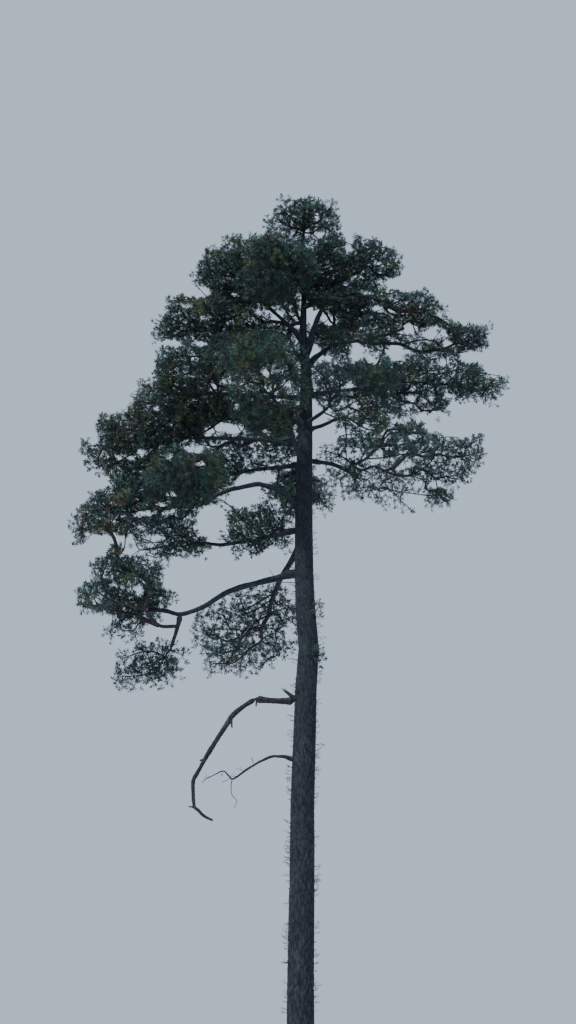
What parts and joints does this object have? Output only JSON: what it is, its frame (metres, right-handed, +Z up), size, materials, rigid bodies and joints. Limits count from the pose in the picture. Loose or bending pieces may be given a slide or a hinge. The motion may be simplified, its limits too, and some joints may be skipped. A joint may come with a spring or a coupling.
{
  "type": "pine tree",
  "caption": "Tall mature pine with a long bare trunk, low dead limbs and a layered, open crown of needle masses carried on tapering boughs.",
  "frame": {"origin": "middle of the flat cut under the trunk, at ground level", "axes": "+Z up the trunk; +X to the right and +Y away from someone who sees the tree as the picture does"},
  "size_m": [13.0216, 10.4301, 27.6946],
  "materials": {
    "bark": "rough, furrowed into long plates",
    "dead_wood": "weathered, partly bare of bark",
    "needles": "waxy, dark green",
    "needles_tinted": "waxy, green mixed with olive and brown"
  },
  "bodies": {
    "root": {"bough_tier1_back": "bark", "bough_tier1_drop": "bark", "bough_tier1_left": "bark", "bough_tier2_backleft": "bark", "bough_tier2_left": "bark", "bough_tier3_back": "bark", "bough_tier3_front": "bark", "bough_tier3_frontright": "bark", "bough_tier3_left": "bark", "bough_tier3_leftback": "bark", "bough_tier3_right": "bark", "bough_tier3_rightback": "bark", "bough_tier4_back": "bark", "bough_tier4_backright": "bark", "bough_tier4_left": "bark", "bough_tier4_right": "bark", "bough_tier5_forkleft": "bark", "bough_tier5_leader": "bark", "bough_tier5_left": "bark", "bough_tier5_right": "bark", "dead_limb_inner": "dead_wood", "dead_limb_outer": "dead_wood", "dead_limb_thin": "dead_wood", "foliage_stem_back": "needles", "foliage_stem_front": "needles", "foliage_stem_left": "needles", "foliage_stem_near": "needles", "foliage_stem_right": "needles", "foliage_stem_top": "needles", "foliage_tier1_back": "needles", "foliage_tier1_drop": "needles", "foliage_tier1_left": "needles", "foliage_tier2_backleft": "needles", "foliage_tier2_backleft_near": "needles", "foliage_tier2_left": "needles", "foliage_tier2_left_front": "needles", "foliage_tier2_left_tip": "needles", "foliage_tier3_back": "needles", "foliage_tier3_front": "needles_tinted", "foliage_tier3_frontright": "needles", "foliage_tier3_left": "needles_tinted", "foliage_tier3_left_tip": "needles_tinted", "foliage_tier3_leftback": "needles", "foliage_tier3_right": "needles", "foliage_tier3_right_front": "needles", "foliage_tier3_right_tip": "needles", "foliage_tier3_rightback": "needles", "foliage_tier4_back": "needles", "foliage_tier4_backright": "needles", "foliage_tier4_left": "needles_tinted", "foliage_tier4_left_near": "needles_tinted", "foliage_tier4_right": "needles", "foliage_tier4_right_tip": "needles", "foliage_tier5_forkleft": "needles", "foliage_tier5_leader": "needles", "foliage_tier5_leader_low": "needles", "foliage_tier5_left": "needles", "foliage_tier5_right": "needles", "foliage_tier5_right_tip": "needles", "trunk": "bark"}
  },
  "joints": []
}
